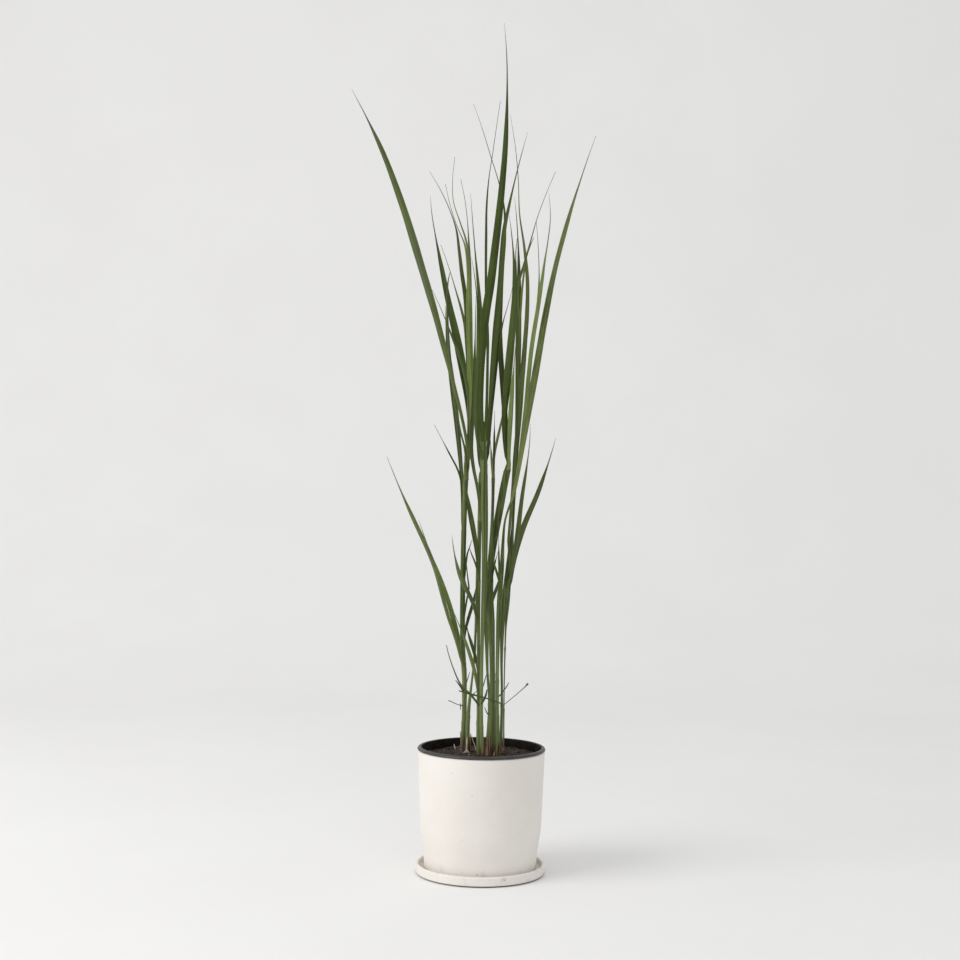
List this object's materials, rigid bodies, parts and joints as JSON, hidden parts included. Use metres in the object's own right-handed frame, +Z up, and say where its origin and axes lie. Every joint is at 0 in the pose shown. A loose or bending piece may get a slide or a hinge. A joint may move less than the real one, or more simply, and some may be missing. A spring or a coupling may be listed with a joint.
{
  "type": "potted ornamental grass",
  "caption": "Tall clump of arching ornamental grass rooted in a black plastic liner that hangs inside a round white ceramic pot on a saucer.",
  "frame": {"origin": "centre of the saucer's flat underside, on the pot's upright axis", "axes": "+Z up along the pot's axis; the clump's front, as pictured, looks along -Y; +X to the viewer's right"},
  "size_m": [0.2876, 0.2305, 0.979],
  "materials": {
    "ceramic": "warm off-white matte ceramic with a few faint specks",
    "liner_plastic": "dark grey satin plastic, slightly worn along the rim",
    "soil": "dark damp potting soil of bark and peat crumbs, with a few pale flecks",
    "blade": "green satin leaf with fine lengthwise veins and a paler midrib",
    "stem": "light green grass stem, browner towards the soil",
    "dry_twig": "dry brown side shoot"
  },
  "bodies": {
    "root": {"saucer": "ceramic", "pot": "ceramic", "liner": "liner_plastic", "soil": "soil", "culm_a": "stem", "culm_b": "stem", "culm_c": "stem", "culm_d": "stem", "culm_e": "stem", "culm_f": "stem", "culm_g": "stem", "culm_h": "stem", "culm_i": "stem", "leaf_a1": "blade", "leaf_a2": "blade", "leaf_a3": "blade", "leaf_a4": "blade", "leaf_a5": "blade", "leaf_a6": "blade", "leaf_a7": "blade", "leaf_a8": "blade", "leaf_a9": "blade", "leaf_a10": "blade", "leaf_a11": "blade", "leaf_a12": "blade", "leaf_a13": "blade", "leaf_a14": "blade", "leaf_c1": "blade", "leaf_c2": "blade", "leaf_c3": "blade", "leaf_c4": "blade", "leaf_c5": "blade", "leaf_d1": "blade", "leaf_d2": "blade", "leaf_d3": "blade", "leaf_d4": "blade", "leaf_d5": "blade", "leaf_d6": "blade", "leaf_e1": "blade", "leaf_e2": "blade", "leaf_e3": "blade", "leaf_f1": "blade", "leaf_f2": "blade", "leaf_f3": "blade", "leaf_f4": "blade", "leaf_f5": "blade", "leaf_g1": "blade", "leaf_g2": "blade", "leaf_g3": "blade", "leaf_h1": "blade", "leaf_h2": "blade", "leaf_h3": "blade", "leaf_h4": "blade", "leaf_h5": "blade", "leaf_h6": "blade", "leaf_h7": "blade", "twig_left": "dry_twig", "twig_long": "dry_twig", "twig_left_low": "dry_twig", "twig_right": "dry_twig"}
  },
  "joints": []
}
